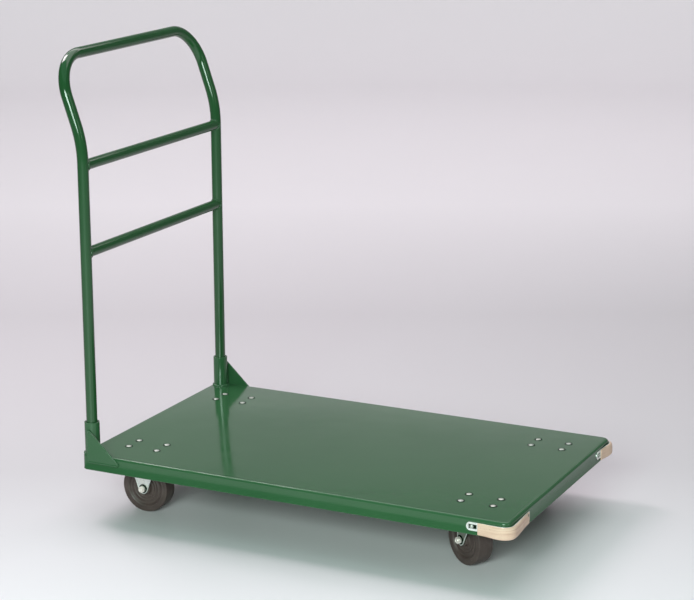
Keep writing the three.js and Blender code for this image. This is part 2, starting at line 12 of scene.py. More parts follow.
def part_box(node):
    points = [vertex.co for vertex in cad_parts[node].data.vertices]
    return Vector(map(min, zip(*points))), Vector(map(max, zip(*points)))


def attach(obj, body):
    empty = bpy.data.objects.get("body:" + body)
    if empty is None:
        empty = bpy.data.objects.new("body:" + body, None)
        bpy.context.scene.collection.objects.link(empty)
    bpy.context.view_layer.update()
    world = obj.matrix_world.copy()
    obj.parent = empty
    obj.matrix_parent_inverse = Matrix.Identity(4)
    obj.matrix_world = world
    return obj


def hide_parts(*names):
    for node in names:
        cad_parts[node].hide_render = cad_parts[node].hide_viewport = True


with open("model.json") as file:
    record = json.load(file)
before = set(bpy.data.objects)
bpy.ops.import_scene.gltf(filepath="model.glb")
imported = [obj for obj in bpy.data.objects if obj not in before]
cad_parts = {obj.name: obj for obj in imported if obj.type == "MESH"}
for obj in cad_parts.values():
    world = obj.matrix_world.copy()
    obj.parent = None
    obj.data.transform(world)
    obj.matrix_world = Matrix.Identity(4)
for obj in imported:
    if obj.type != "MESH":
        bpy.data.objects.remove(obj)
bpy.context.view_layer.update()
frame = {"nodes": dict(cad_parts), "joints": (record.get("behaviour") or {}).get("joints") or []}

MM = 0.001
TURN = 2 * math.pi

# ---- places, read from the frame -------------------------------------

SKIRT = {wall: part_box("deck_skirt_" + wall) for wall in ("right", "front", "left", "rear")}
DECK_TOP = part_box("deck_sheet")[1].z
DECK_FOOT = SKIRT["right"][0].z
DECK_LOW = Vector((SKIRT["rear"][0].x, SKIRT["right"][0].y, DECK_FOOT))
DECK_HIGH = Vector((SKIRT["front"][1].x, SKIRT["left"][1].y, DECK_TOP))
DECK_MIDDLE = (DECK_LOW + DECK_HIGH) / 2
JOINTS = {joint["name"]: joint for joint in frame["joints"]}
SIDES = {"right": -1, "left": 1}  # each side's sign along Y


def middle(node):
    """The middle of a CAD node's box."""
    low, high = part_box(node)
    return (low + high) / 2


def post_foot(side):
    """Where a post's centre line meets the floor."""
    socket = middle("post_socket_" + side)
    return Vector((socket.x, socket.y, 0))


POST = {side: post_foot(side) for side in SIDES}
SOCKET_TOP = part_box("post_socket_right")[1].z
GRIP_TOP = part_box("handle_hoop")[1].z

# ---- sizes that the frame's boxes don't give -------------------------

SHEET = 2.5 * MM
DECK_ROLL = 5 * MM
DECK_CORNER = 15 * MM
TUBE_RADIUS = 11.1 * MM
TUBE_WALL = 1.65 * MM
CROSSBAR_RADIUS = 10.65 * MM
BEND_Z = 758.7 * MM
BEND_RADIUS = 231 * MM
LEAN = math.radians(18.9)
GRIP_CORNER = 79.3 * MM
SOCKET_RADIUS = 15.2 * MM
SOCKET_BORE = 11.45 * MM
WHEEL_RADIUS = 50.8 * MM
PLATE_THICK = 2.6 * MM
FORK_INSIDE = 20.5 * MM
FORK_OUTSIDE = 23 * MM
TRAIL = 32 * MM

# sides of the round pieces
STUD_ROUND = 36
SMALL_ROUND = 40
TUBE_ROUND = 48
SOCKET_ROUND = 56
RACE_ROUND = 64
WHEEL_ROUND = 112

# ---- materials -------------------------------------------------------


class Shader:
    """A principled material with short ways to add procedural detail."""

    def __init__(self, name, **values):
        self.material = bpy.data.materials.new(name)
        self.material.use_nodes = True
        self.tree = self.material.node_tree
        self.surface = self.tree.nodes["Principled BSDF"]
        for socket, value in values.items():
            self.surface.inputs[socket.replace("_", " ")].default_value = value
        self.place = self.tree.nodes.new("ShaderNodeTexCoord").outputs["Object"]

    def node(self, kind, **values):
        made = self.tree.nodes.new("ShaderNode" + kind)
        for socket, value in values.items():
            made.inputs[socket.replace("_", " ")].default_value = value
        return made

    def link(self, output, socket):
        self.tree.links.new(output, socket)

    def stretched(self, x, y, z):
        """The object's coordinates, scaled by axis, for grain that runs one way."""
        mapping = self.node("Mapping", Scale=(x, y, z))
        self.link(self.place, mapping.inputs["Vector"])
        return mapping.outputs["Vector"]

    def noise(self, scale, detail=3.0, roughness=0.5, place=None):
        made = self.node("TexNoise", Scale=scale, Detail=detail, Roughness=roughness)
        self.link(place or self.place, made.inputs["Vector"])
        return made.outputs["Fac"]

    def ramp(self, factor, stops):
        """A colour ramp through (position, colour) stops."""
        made = self.node("ValToRGB")
        elements = made.color_ramp.elements
        while len(elements) < len(stops):
            elements.new(0.5)
        for element, (position, colour) in zip(elements, stops):
            element.position = position
            element.color = (*colour, 1)
        self.link(factor, made.inputs["Fac"])
        return made.outputs["Color"]

    def mixed(self, factor, first, second):
        """A mix of two colours. Each value is a node's output or a plain value."""
        made = self.tree.nodes.new("ShaderNodeMix")
        made.data_type = "RGBA"
        for socket, value in zip((0, 6, 7), (factor, first, second)):
            if isinstance(value, bpy.types.NodeSocket):
                self.link(value, made.inputs[socket])
            elif socket:
                made.inputs[socket].default_value = (*value, 1)
            else:
                made.inputs[socket].default_value = value
        return made.outputs[2]

    def ranged(self, factor, low, high, from_low=0.3, from_high=0.7):
        """A factor brought from one range to another. A noise keeps mostly between 0.3 and 0.7."""
        made = self.node("MapRange")
        made.inputs["From Min"].default_value = from_low
        made.inputs["From Max"].default_value = from_high
        made.inputs["To Min"].default_value = low
        made.inputs["To Max"].default_value = high
        self.link(factor, made.inputs["Value"])
        return made.outputs["Result"]

    def colour(self, output):
        self.link(output, self.surface.inputs["Base Color"])

    def rough(self, output):
        self.link(output, self.surface.inputs["Roughness"])

    def bumps(self, *layers):
        """Bump from (height, distance) layers, one on another."""
        normal = None
        for height, distance in layers:
            made = self.node("Bump", Strength=1.0, Distance=distance)
            self.link(height, made.inputs["Height"])
            if normal is not None:
                self.link(normal, made.inputs["Normal"])
            normal = made.outputs["Normal"]
        self.link(normal, self.surface.inputs["Normal"])


def enamel(name, dark, light, waviness):
    """Glossy sprayed enamel: slow colour drift, dark flecks, smudges, orange peel and slack in the sheet."""
    made = Shader(name, IOR=1.5)
    drift = made.noise(scale=5, detail=4)
    flecks = made.noise(scale=900, detail=2)
    smudges = made.noise(scale=14, detail=5, roughness=0.6)
    slack = made.noise(scale=7, detail=2)
    orange_peel = made.noise(scale=260, detail=2)
    grain = made.noise(scale=1500, detail=1)
    fleck_colour = tuple(c * 0.55 for c in dark)
    base = made.ramp(drift, [(0.3, dark), (0.7, light)])
    made.colour(made.mixed(made.ranged(flecks, 0.0, 0.12), base, fleck_colour))
    made.rough(made.ranged(smudges, 0.07, 0.17))
    made.bumps((slack, waviness), (orange_peel, 0.02 * MM), (grain, 0.004 * MM))
    return made.material


def zinc(name, base, rough, grain=(400, 400, 60), metallic=0.7):
    """Zinc plate: darker patches, a trace of yellow, and drawing marks as fine as grain says by axis."""
    made = Shader(name, Metallic=metallic, IOR=1.5)
    patches = made.noise(scale=120, detail=4)
    yellowing = made.noise(scale=45, detail=3)
    handling = made.noise(scale=200, detail=4)
    drawing_marks = made.noise(scale=1, detail=2, place=made.stretched(*grain))
    crystals = made.noise(scale=900, detail=2)
    yellow = (0.78, 0.74, 0.62)
    plate = made.ramp(patches, [(0.32, tuple(c * 0.8 for c in base)), (0.68, base)])
    made.colour(made.mixed(made.ranged(yellowing, 0.0, 0.35), plate, yellow))
    made.rough(made.ranged(handling, rough * 0.75, rough * 1.35))
    made.bumps((drawing_marks, 0.03 * MM), (crystals, 0.02 * MM))
    return made.material


def rubber(name, dark, light, gloss=1.5):
    """Moulded rubber with dust in its pores. gloss is its index of refraction."""
    made = Shader(name, IOR=gloss)
    dust = made.noise(scale=60, detail=5, roughness=0.6)
    wear = made.noise(scale=90, detail=4)
    unevenness = made.noise(scale=40, detail=3)
    pores = made.noise(scale=1400, detail=3)
    made.colour(made.ramp(dust, [(0.3, dark), (0.75, light)]))
    made.rough(made.ranged(wear, 0.42, 0.62))
    made.bumps((unevenness, 0.2 * MM), (pores, 0.04 * MM))
    return made.material


def leather(name):
    """Smooth tan strapping: streaks along its length, freckles and a faint handled darkening."""
    made = Shader(name, IOR=1.45)
    streaks = made.noise(scale=1, detail=5, roughness=0.6, place=made.stretched(14, 14, 700))
    freckles = made.noise(scale=420, detail=3)
    handling = made.noise(scale=38, detail=3)
    wear = made.noise(scale=160, detail=3)
    pores = made.noise(scale=1100, detail=3)
    brown, tan, pale = (0.5, 0.28, 0.21), (0.74, 0.5, 0.385), (0.85, 0.65, 0.53)
    freckle_colour, handled_colour = (0.36, 0.17, 0.12), (0.6, 0.34, 0.26)
    base = made.ramp(streaks, [(0.3, brown), (0.44, tan), (0.72, pale)])
    base = made.mixed(made.ranged(freckles, 0.0, 0.4, 0.58, 0.8), base, freckle_colour)
    made.colour(made.mixed(made.ranged(handling, 0.0, 0.38), base, handled_colour))
    made.rough(made.ranged(wear, 0.42, 0.62))
    made.bumps((streaks, 0.12 * MM), (pores, 0.08 * MM))
    return made.material


Finish = namedtuple("Finish", "material slot")  # a material, and the name of the slot it fills

DECK_GREENS = (0.028, 0.097, 0.039), (0.035, 0.108, 0.045)
HANDLE_GREENS = (0.016, 0.071, 0.023), (0.021, 0.081, 0.028)
EVEN = (900, 900, 900)  # grain that runs no particular way

DECK_PAINT = Finish(enamel("deck_enamel", *DECK_GREENS, 0.4 * MM), "deck_enamel")
HANDLE_PAINT = Finish(enamel("handle_enamel", *HANDLE_GREENS, 0.1 * MM), "handle_enamel")
ZINC = Finish(zinc("zinc_pressing", (0.95, 0.96, 0.96), 0.33), "zinc_pressing")
BOLT_ZINC = Finish(zinc("zinc_fastener", (0.5, 0.53, 0.5), 0.42, EVEN, 0.9), "zinc_fastener")
NUT_ZINC = Finish(zinc("zinc_nut", (1.0, 0.86, 0.85), 0.36, EVEN, 0.35), "zinc_fastener")
SHADED_ZINC = Finish(zinc("zinc_shaded", (0.16, 0.18, 0.17), 0.4), "zinc_pressing")
# painted shade: a near-black material for the rings and plates that stand in for shade round the bolt heads,
# behind the bumper slots and round the axle nuts
PAINTED_SHADE = rubber("painted_shade", (0.004, 0.012, 0.006), (0.008, 0.02, 0.011), 1.15)
DECK_PAINTED_SHADE = Finish(PAINTED_SHADE, "deck_enamel")
WASHER_PAINTED_SHADE = Finish(PAINTED_SHADE, "zinc_fastener")
DARK_STEEL = Finish(zinc("dark_steel", (0.06, 0.06, 0.06), 0.45), "zinc_fastener")
TYRE_RUBBER = Finish(rubber("wheel_rubber", (0.056, 0.035, 0.032), (0.086, 0.057, 0.052)), "wheel_rubber")
TAN = Finish(leather("bumper_leather"), "bumper_leather")

# ---- mesh code -------------------------------------------------------


def piece(name, shape, body, finish, stands_for=(), sharp=40, bevel=0.0, segments=3):
    """Makes a piece from (points, faces), smooth but for edges sharper than an angle, riding on a body."""
    points, faces = shape
    material, slot = finish
    mesh = bpy.data.meshes.new(name)
    mesh.from_pydata(points, [], faces)
    work = bmesh.new()
    work.from_mesh(mesh)
    bmesh.ops.remove_doubles(work, verts=work.verts, dist=1e-7)
    bmesh.ops.recalc_face_normals(work, faces=work.faces)
    work.to_mesh(mesh)
    work.free()
    made = bpy.data.objects.new(name, mesh)
    bpy.context.scene.collection.objects.link(made)
    if bevel:
        rounding = made.modifiers.new("rounding", "BEVEL")
        rounding.width = bevel
        rounding.segments = segments
        rounding.limit_method = "ANGLE"
        rounding.angle_limit = math.radians(35)
        rounding.harden_normals = True
    mesh.shade_smooth()
    mesh.set_sharp_from_angle(angle=math.radians(sharp))
    made.data.materials.append(material)
    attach(made, body)
    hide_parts(*stands_for)
    return made


def moved(shape, matrix):
    points, faces = shape
    return [matrix @ Vector(p) for p in points], faces


def together(*shapes):
    """Several shapes as one list of points and faces."""
    points, faces = [], []
    for more_points, more_faces in shapes:
        start = len(points)
        points.extend(more_points)
        faces.extend(tuple(i + start for i in face) for face in more_faces)
    return points, faces


def lofted(rings, closed=False, caps=True):
    """Skins over rings of points. closed joins the last ring to the first."""
    count = len(rings[0])
    points = [p for ring in rings for p in ring]
    faces = []
    pairs = len(rings) if closed else len(rings) - 1
    for r in range(pairs):
        a = r * count
        b = ((r + 1) % len(rings)) * count
        for i in range(count):
            j = (i + 1) % count
            faces.append((a + i, a + j, b + j, b + i))
    if caps and not closed:
        faces.append(tuple(reversed(range(count))))
        faces.append(tuple(range(len(points) - count, len(points))))
    return points, faces


def round_section(radius, sides):
    """Points of a circle round the origin."""
    angles = [TURN * i / sides for i in range(sides)]
    return [(radius * math.cos(a), radius * math.sin(a)) for a in angles]


def turned(section, sides):
    """A section of (radius, height) turned round Z. It starts on the axis, or it closes on itself."""
    points, rows = [], []
    for radius, height in section:
        if radius < 1e-9:
            rows.append([len(points)])
            points.append(Vector((0, 0, height)))
            continue
        rows.append(list(range(len(points), len(points) + sides)))
        points.extend(Vector((x, y, height)) for x, y in round_section(radius, sides))
    closed = len(rows[0]) > 1
    faces = []
    for k in range(len(rows) if closed else len(rows) - 1):
        low, high = rows[k], rows[(k + 1) % len(rows)]
        for i in range(sides):
            j = (i + 1) % sides
            if len(low) == 1:
                faces.append((low[0], high[j], high[i]))
            elif len(high) == 1:
                faces.append((low[i], low[j], high[0]))
            else:
                faces.append((low[i], low[j], high[j], high[i]))
    return points, faces


def arc(centre, radius, start, end, steps):
    """Points of a circle's arc, angles in degrees."""
    angles = [math.radians(start + (end - start) * i / steps) for i in range(steps + 1)]
    return [(centre[0] + radius * math.cos(a), centre[1] + radius * math.sin(a)) for a in angles]


def slab(outline, low, high):
    """An outline in X and Y, with a thickness from low to high along Z."""
    return lofted([[Vector((x, y, z)) for x, y in outline] for z in (low, high)])


def prism(outline, low, high):
    """An outline in X and Z, with a thickness from low to high along Y."""
    return lofted([[Vector((x, y, z)) for x, z in outline] for y in (low, high)])


def rounded_outline(corners, radius, steps):
    """A polygon's outline with each corner rounded."""
    outline = []
    count = len(corners)
    for i, corner in enumerate(corners):
        here = Vector(corner)
        before = (Vector(corners[i - 1]) - here).normalized()
        after = (Vector(corners[(i + 1) % count]) - here).normalized()
        half = before.angle(after) / 2
        reach = radius / math.tan(half)
        centre = here + (before + after).normalized() * radius / math.sin(half)
        first, last = here + before * reach - centre, here + after * reach - centre
        sweep = first.angle_signed(last)
        for k in range(steps + 1):
            turn = Matrix.Rotation(-sweep * k / steps, 2)
            outline.append(tuple(centre + turn @ first))
    return outline


def rounded_rectangle(half_x, half_y, radius, steps=8):
    outline = []
    for quarter, (sx, sy) in enumerate([(1, 1), (-1, 1), (-1, -1), (1, -1)]):
        centre = (sx * (half_x - radius), sy * (half_y - radius))
        outline += arc(centre, radius, 90 * quarter, 90 * quarter + 90, steps)
    return outline


def swept(path, ring_at, closed=False, caps=True):
    """Rings carried along a path without twisting. ring_at(i, distance) gives each ring's 2-D points."""
    rings = []
    count = len(path)
    side = None
    distance = 0.0
    for i, point in enumerate(path):
        ahead = path[(i + 1) % count] if closed or i + 1 < count else point
        behind = path[i - 1] if closed or i else point
        heading = (ahead - behind).normalized()
        if side is None:
            side = heading.orthogonal().normalized()
        side = (side - heading * side.dot(heading)).normalized()
        other = heading.cross(side)
        distance += (point - path[i - 1]).length if i else 0.0
        rings.append([point + side * u + other * v for u, v in ring_at(i, distance)])
    return lofted(rings, closed=closed, caps=caps)


def rod(path, radius, sides, caps=True):
    """A round rod along a path."""
    return swept(path, lambda i, distance: round_section(radius, sides), caps=caps)


def weld_bead(path, radius, closed=False, ripple=2.2 * MM, seed=0.0):
    """A weld bead along a path: overlapping ripples, a little uneven."""
    section = round_section(1.0, 12)

    def ring_at(i, distance):
        wave = 0.5 + 0.5 * math.cos(TURN * distance / ripple)
        drift = noise.noise(path[i] * 90 + Vector((seed, seed, seed)))
        size = radius * (0.86 + 0.16 * wave + 0.25 * drift)
        return [(u * size, v * size) for u, v in section]

    return swept(path, ring_at, closed=closed)


def line(start, end, spacing=0.6 * MM):
    """Points of a straight bead's path."""
    start, end = Vector(start), Vector(end)
    count = max(2, int((end - start).length / spacing))
    return [start.lerp(end, i / count) for i in range(count + 1)]


def circle(centre, radius, spacing=0.6 * MM):
    """Points of a level round bead's path."""
    section = round_section(radius, int(TURN * radius / spacing))
    return [Vector(centre) + Vector((x, y, 0)) for x, y in section]


def bent_path(corners, radii, arc_step=math.radians(3)):
    """The points of a path whose inner corners are rounded to the given radii."""
    path = [corners[0]]
    for i, radius in enumerate(radii):
        before, corner, after = corners[i : i + 3]
        into, out = (corner - before).normalized(), (after - corner).normalized()
        angle = into.angle(out)
        inward = (out - into * into.dot(out)).normalized()
        start = corner - into * radius * math.tan(angle / 2)
        steps = math.ceil(angle / arc_step)
        for k in range(steps + 1):
            a = angle * k / steps
            path.append(start + into * radius * math.sin(a) + inward * radius * (1 - math.cos(a)))
    path.append(corners[-1])
    return path


def densified(path, spacing):
    """The same path with long straight runs split up."""
    made = [path[0]]
    for point in path[1:]:
        count = max(1, round((point - made[-1]).length / spacing))
        start = made[-1]
        made.extend(start.lerp(point, k / count) for k in range(1, count + 1))
    return made


# ---- deck ------------------------------------------------------------


def deck_shape():
    """The folded pan: flat top, rolled edge, a skirt with a small lip at its foot, and the inner faces."""
    half_x = (DECK_HIGH.x - DECK_LOW.x) / 2
    half_y = (DECK_HIGH.y - DECK_LOW.y) / 2
    foot, lip = 0.5 * MM, 0.5 * MM
    lip_top, lip_edge = DECK_FOOT + 2.2 * MM, DECK_FOOT + 1.5 * MM
    bend = (DECK_ROLL, DECK_TOP - DECK_ROLL)
    section = arc(bend, DECK_ROLL, 90, 180, 8)
    section += [(0, lip_top), (-lip, lip_edge)]
    section += arc((foot - lip, DECK_FOOT + foot), foot, 180, 270, 4)
    section += arc((SHEET - foot, DECK_FOOT + foot), foot, 270, 360, 4)
    section += arc(bend, DECK_ROLL - SHEET, 180, 90, 5)
    rings = []
    for inset, z in section:
        outline = rounded_rectangle(half_x - inset, half_y - inset, DECK_CORNER - inset)
        rings.append([Vector((DECK_MIDDLE.x + x, DECK_MIDDLE.y + y, z)) for x, y in outline])
    return lofted(rings)


DECK_NODES = ["deck_sheet", *("deck_skirt_" + wall for wall in SKIRT)]
piece("deck", deck_shape(), "chassis", DECK_PAINT, DECK_NODES)

for spot in ("rear", "middle", "front"):
    channel = frame["nodes"]["deck_stiffener_" + spot]
    channel.data.materials.clear()
    channel.data.materials.append(DECK_PAINT.material)
    folds = channel.modifiers.new("folds", "BEVEL")
    folds.width = 1 * MM
    folds.segments = 3
    folds.limit_method = "ANGLE"

# ---- handle ----------------------------------------------------------


def hoop_path():
    """The hoop's centre line: up one post, back with the lean, across the grip and down the other post."""
    right, left = POST["right"], POST["left"]
    grip_z = GRIP_TOP - TUBE_RADIUS
    grip_x = right.x - (grip_z - BEND_Z) * math.tan(LEAN)
    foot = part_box("handle_hoop")[0].z
    rise = [(right.x, foot), (right.x, BEND_Z), (grip_x, grip_z)]
    corners = [Vector((x, right.y, z)) for x, z in rise]
    corners += [Vector((x, left.y, z)) for x, z in reversed(rise)]
    return bent_path(corners, [BEND_RADIUS, GRIP_CORNER, GRIP_CORNER, BEND_RADIUS])


def hoop_shape():
    """A tube with open ends: the outer skin, and the bore's skin joined to it at both ends."""
    path = densified(hoop_path(), 12 * MM)
    outer_points, outer_faces = rod(path, TUBE_RADIUS, TUBE_ROUND, caps=False)
    inner_points, inner_faces = rod(path, TUBE_RADIUS - TUBE_WALL, TUBE_ROUND, caps=False)
    bore = (inner_points, [tuple(reversed(face)) for face in inner_faces])
    points, faces = together((outer_points, outer_faces), bore)
    shift = len(outer_points)
    for start in (0, shift - TUBE_ROUND):
        for i in range(TUBE_ROUND):
            j = (i + 1) % TUBE_ROUND
            faces.append((start + i, start + j, start + j + shift, start + i + shift))
    return points, faces


def saddle(z, share, count, off_bar=0.0, off_post=0.0):
    """Points round a crossbar, fitted to the posts' walls. share is -1 at the right post, 1 at the left."""
    post = POST["left"]
    radius = CROSSBAR_RADIUS + off_bar
    ring = []
    for a in (TURN * i / count for i in range(count)):
        wall = math.sqrt(max(TUBE_RADIUS**2 - (CROSSBAR_RADIUS * math.cos(a)) ** 2, 0.0))
        y = share * (post.y - wall - off_post)
        ring.append(Vector((post.x + radius * math.cos(a), y, z + radius * math.sin(a))))
    return ring


def crossbar_shape(z):
    """A straight bar at a height between the posts, its ends cut to fit round them."""
    steps = 10
    return lofted([saddle(z, 2 * k / steps - 1, TUBE_ROUND) for k in range(steps + 1)])


def saddle_weld(z, sign, seed):
    """The bead round a crossbar's end."""
    path = saddle(z, sign, 120, off_bar=0.4 * MM, off_post=0.6 * MM)
    return weld_bead(path, 1.9 * MM, closed=True, seed=seed)


piece("handle_tube", hoop_shape(), "handle", HANDLE_PAINT, ["handle_hoop"])
for name in ("crossbar_lower", "crossbar_upper"):
    z = middle(name).z
    piece(name + "_tube", crossbar_shape(z), "handle", HANDLE_PAINT, [name])
    for side, sign in SIDES.items():
        bead = saddle_weld(z, sign, z * 10 + sign)
        piece(f"{name}_weld_{side}", bead, "handle", HANDLE_PAINT)

# ---- sockets and gussets ---------------------------------------------

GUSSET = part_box("gusset_right")
GUSSET_THICK = 3 * MM


def socket_shape():
    """A socket's sleeve, standing on the deck round Z, open at the top and with a rounded rim."""
    rim = 1.0 * MM
    section = [(SOCKET_BORE, DECK_TOP), (SOCKET_RADIUS, DECK_TOP)]
    section += arc((SOCKET_RADIUS - rim, SOCKET_TOP - rim), rim, 0, 90, 5)
    section += arc((SOCKET_BORE + rim / 2, SOCKET_TOP - rim / 2), rim / 2, 90, 180, 3)
    return turned(section, SOCKET_ROUND)


def gusset_shape(sign):
    """An upright triangle of plate with blunt, eased tips."""
    low, high = GUSSET
    rear, tip, ease = low.x, 3 * MM, 1.3 * MM
    corners = [(rear, low.z), (high.x, low.z), (high.x, low.z + tip)]
    corners += [(rear + 2 * tip, high.z), (rear + tip * 0.6, high.z)]
    outline = rounded_outline(corners, ease, 4)
    outer = abs(low.y)
    faces = sorted((sign * (outer - GUSSET_THICK), sign * outer))
    return prism(outline, *faces)


def gusset_welds(side, sign):
    """The beads along a gusset's foot, up its outer seam, over its tip and up its inner face."""
    low, high = GUSSET
    rear, top, apex, post_x = low.x, DECK_TOP, high.z, POST[side].x
    # each bead: its start and end in X and Z, its depth in from the outer face, its radius and its seed
    beads = {
        "foot": ((rear + 4 * MM, low.z), (high.x - 2 * MM, low.z), 0.8 * MM, 2.2 * MM, 2),
        "seam": ((rear + 1.5 * MM, top + 2 * MM), (rear + 3.4 * MM, apex - 1 * MM), 2.6 * MM, 2.6 * MM, 5),
        "tip": ((rear + 2.5 * MM, apex - 1 * MM), (rear + 5.5 * MM, apex - 4.5 * MM), 0.6 * MM, 2 * MM, 11),
        "inner": ((post_x + 9 * MM, top), (post_x + 5 * MM, apex - 7 * MM), 4.4 * MM, 2.8 * MM, 8),
    }
    for name, (start, end, depth, radius, seed) in beads.items():
        y = sign * abs(low.y) - sign * depth
        path = line((start[0], y, start[1]), (end[0], y, end[1]))
        bead = weld_bead(path, radius, seed=seed + sign)
        piece(f"gusset_{name}_weld_{side}", bead, "chassis", DECK_PAINT)


for side, sign in SIDES.items():
    post = POST[side]
    socket = moved(socket_shape(), Matrix.Translation(post))
    piece("socket_" + side, socket, "chassis", DECK_PAINT, ["post_socket_" + side])
    off_deck, off_socket = 0.3 * MM, 0.6 * MM
    ring = circle((post.x, post.y, DECK_TOP + off_deck), SOCKET_RADIUS + off_socket)
    bead = weld_bead(ring, 2.3 * MM, closed=True, seed=sign)
    piece("socket_weld_" + side, bead, "chassis", DECK_PAINT)
    plate = gusset_shape(sign)
    piece("gusset_plate_" + side, plate, "chassis", DECK_PAINT, ["gusset_" + side], bevel=0.7 * MM)
    gusset_welds(side, sign)

# ---- bolts and nuts --------------------------------------------------


def threaded(radius, bottom, top, pitch=1.25 * MM):
    """The section of a stud: its end stepped in, then even ridges up to its top."""
    depth = pitch * 0.45
    section = [(0, bottom), (radius * 0.75, bottom)]
    z = bottom + pitch * 0.6
    while z < top:
        section += [(radius - depth, z), (radius, z + pitch / 2)]
        z += pitch
    section += [(radius - depth, top), (0, top)]
    return section


def hexagon(flats, bottom, top, chamfer=0.8 * MM):
    """A hexagon block with its corners turned down at the top and bottom."""
    sides = 48
    inscribed, corner = flats / 2, flats / 2 / math.cos(math.pi / 6)
    rings = []
    limits = ((bottom, inscribed), (bottom + chamfer, corner), (top - chamfer, corner), (top, inscribed))
    for z, limit in limits:
        ring = []
        for i in range(sides):
            a = TURN * i / sides
            folded = (a + math.pi / 6) % (math.pi / 3) - math.pi / 6
            reach = min(inscribed / math.cos(folded), limit * 0.995)  # a hair off the sharp corners
            ring.append(Vector((reach * math.cos(a), reach * math.sin(a), z)))
        rings.append(ring)
    return lofted(rings)


def dome(radius, height, edge):
    """The section of a domed head, from its rim in. The rim stands up by edge, a share of the height."""
    angles = [math.radians(degrees) for degrees in range(0, 90, 9)]
    curve = [(radius * math.cos(a), height * (edge + (1 - edge) * math.sin(a))) for a in angles]
    return [*curve, (0, height)]


def round_head_bolt():
    """A round-headed bolt down through the deck, with its nut, standing on the deck at the origin."""
    head, height, shank, tail = 5.4 * MM, 1.7 * MM, 3.1 * MM, -16 * MM
    section = [(0, tail), (shank, tail), (shank, 0), (head - 0.2 * MM, 0), *dome(head, height, 0.12)]
    nut_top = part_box("rear_right_fork")[1].z - DECK_TOP - PLATE_THICK - 0.1 * MM
    nut = hexagon(11.1 * MM, nut_top - 5.8 * MM, nut_top)
    return together(turned(section, SMALL_ROUND), nut)


def bolt_seat():
    """The ring of painted shade round a bolt's head, sunk a little into the deck and thickest at the head.
    """
    inner, outer, rim = 5.2 * MM, 8.3 * MM, 7.9 * MM
    sunk, edge, top = -0.2 * MM, 0.2 * MM, 0.5 * MM
    return turned([(inner, sunk), (outer, sunk), (rim, edge), (inner, top)], SMALL_ROUND)


for node in sorted(frame["nodes"]):
    if node.startswith("caster_bolt_"):
        spot = middle(node)
        place = Matrix.Translation((spot.x, spot.y, DECK_TOP))
        turn = Matrix.Rotation(spot.x * 37 + spot.y * 53, 4, "Z")  # each bolt is left at its own angle
        bolt = moved(round_head_bolt(), place @ turn)
        piece(node + "_zinc", bolt, "chassis", BOLT_ZINC, [node])
        # a dark ring of painted shade round each bolt head
        piece(node + "_seat", moved(bolt_seat(), place), "chassis", DECK_PAINTED_SHADE)

# ---- wheels ----------------------------------------------------------


def ridge(outer, foot, rise, wide):
    """A raised ring on a wheel's face, as (radius, distance) points down to its upper inner edge."""
    slope, crown = 0.6, 0.1
    inner = outer - slope - wide
    return [(outer, foot), (outer - slope, foot + rise), (inner, foot + rise + crown)]


def wheel_section():
    """Half of the wheel's section as (radius, distance from the middle), from the tread in to the bore."""
    # in millimetres
    tread = [(51.0, 0), (50.9, 0.5), (50.9, 6), (50.8, 14.2), (50.6, 15.1), (50.1, 15.7), (49.3, 16.0)]
    wall = [(45.0, 16.0), *ridge(41.6, 15.9, 0.5, 1.6), (38.8, 15.9)]
    dish = [(37.2, 15.6), (36.4, 14.2), (35.6, 12.9), (34.4, 12.4)]
    web = [*ridge(29.6, 12.3, 0.7, 1.6), (26.8, 12.3), *ridge(23.4, 12.2, 0.7, 1.6), (20.6, 12.2)]
    web += [*ridge(17.4, 12.1, 0.7, 1.2), (15.0, 12.2)]
    collar = [(14.0, 13.2), (13.3, 17.6), (12.8, 19.1), (12.0, 19.5), (5.0, 19.5), (4.4, 18.9)]
    return [(radius * MM, y * MM) for radius, y in tread + wall + dish + web + collar]


def wheel_shape():
    half = wheel_section()
    section = half + [(radius, -y) for radius, y in reversed(half[1:])]
    return turned(section, WHEEL_ROUND)


UPRIGHT = Matrix.Rotation(math.pi / 2, 4, "X")  # carries a piece that stands on Z round to lie along -Y
AXLE_RADIUS, AXLE_FLATS = 3.95 * MM, 12.7 * MM


def axle_pieces(name, place, roller, holder):
    """The wheel, axle bolt, washer and nut at a place whose Y axis is the axle, nut towards -Y."""
    lying = place @ UPRIGHT
    wheel = moved(wheel_shape(), lying)
    piece(name + "_tyre", wheel, roller, TYRE_RUBBER, [name + "_wheel"], sharp=60)
    seat = FORK_OUTSIDE + 0.1 * MM
    stud_end, head_end = seat + 9.6 * MM, -seat - 5.3 * MM
    stud = turned(threaded(AXLE_RADIUS, -seat, stud_end), STUD_ROUND)
    bolt = together(stud, hexagon(AXLE_FLATS, head_end, -seat))
    piece(name + "_bolt", moved(bolt, lying), holder, NUT_ZINC, [name + "_axle_bolt"])
    # the washer is coloured in painted shade: a dark ring round the nut where its shadow falls
    inner, outer, face = 4.3 * MM, 9.1 * MM, seat + 1.2 * MM
    washer = turned([(inner, seat), (outer, seat), (outer, face), (inner, face)], SMALL_ROUND)
    piece(name + "_washer", moved(washer, lying), holder, WASHER_PAINTED_SHADE, bevel=0.2 * MM)
    nut = hexagon(AXLE_FLATS, seat + 1.9 * MM, seat + 8 * MM)
    piece(name + "_nut", moved(nut, lying), holder, NUT_ZINC, [name + "_axle_nut"])


# ---- caster forks and plates -----------------------------------------

PLATE_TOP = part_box("front_right_plate")[1].z
PLATE_UNDER = PLATE_TOP - PLATE_THICK
CROWN_TOP = 115.5 * MM
CROWN_UNDER = CROWN_TOP - 3 * MM
CROWN_REAR = -38 * MM
LEG_BITE = 0.5 * MM  # how far a leg runs up into the sheet that it hangs from
LEG_EASE, CROWN_EASE, PLATE_EASE = 1.1 * MM, 0.4 * MM, 0.5 * MM  # bevels on the pieces' edges


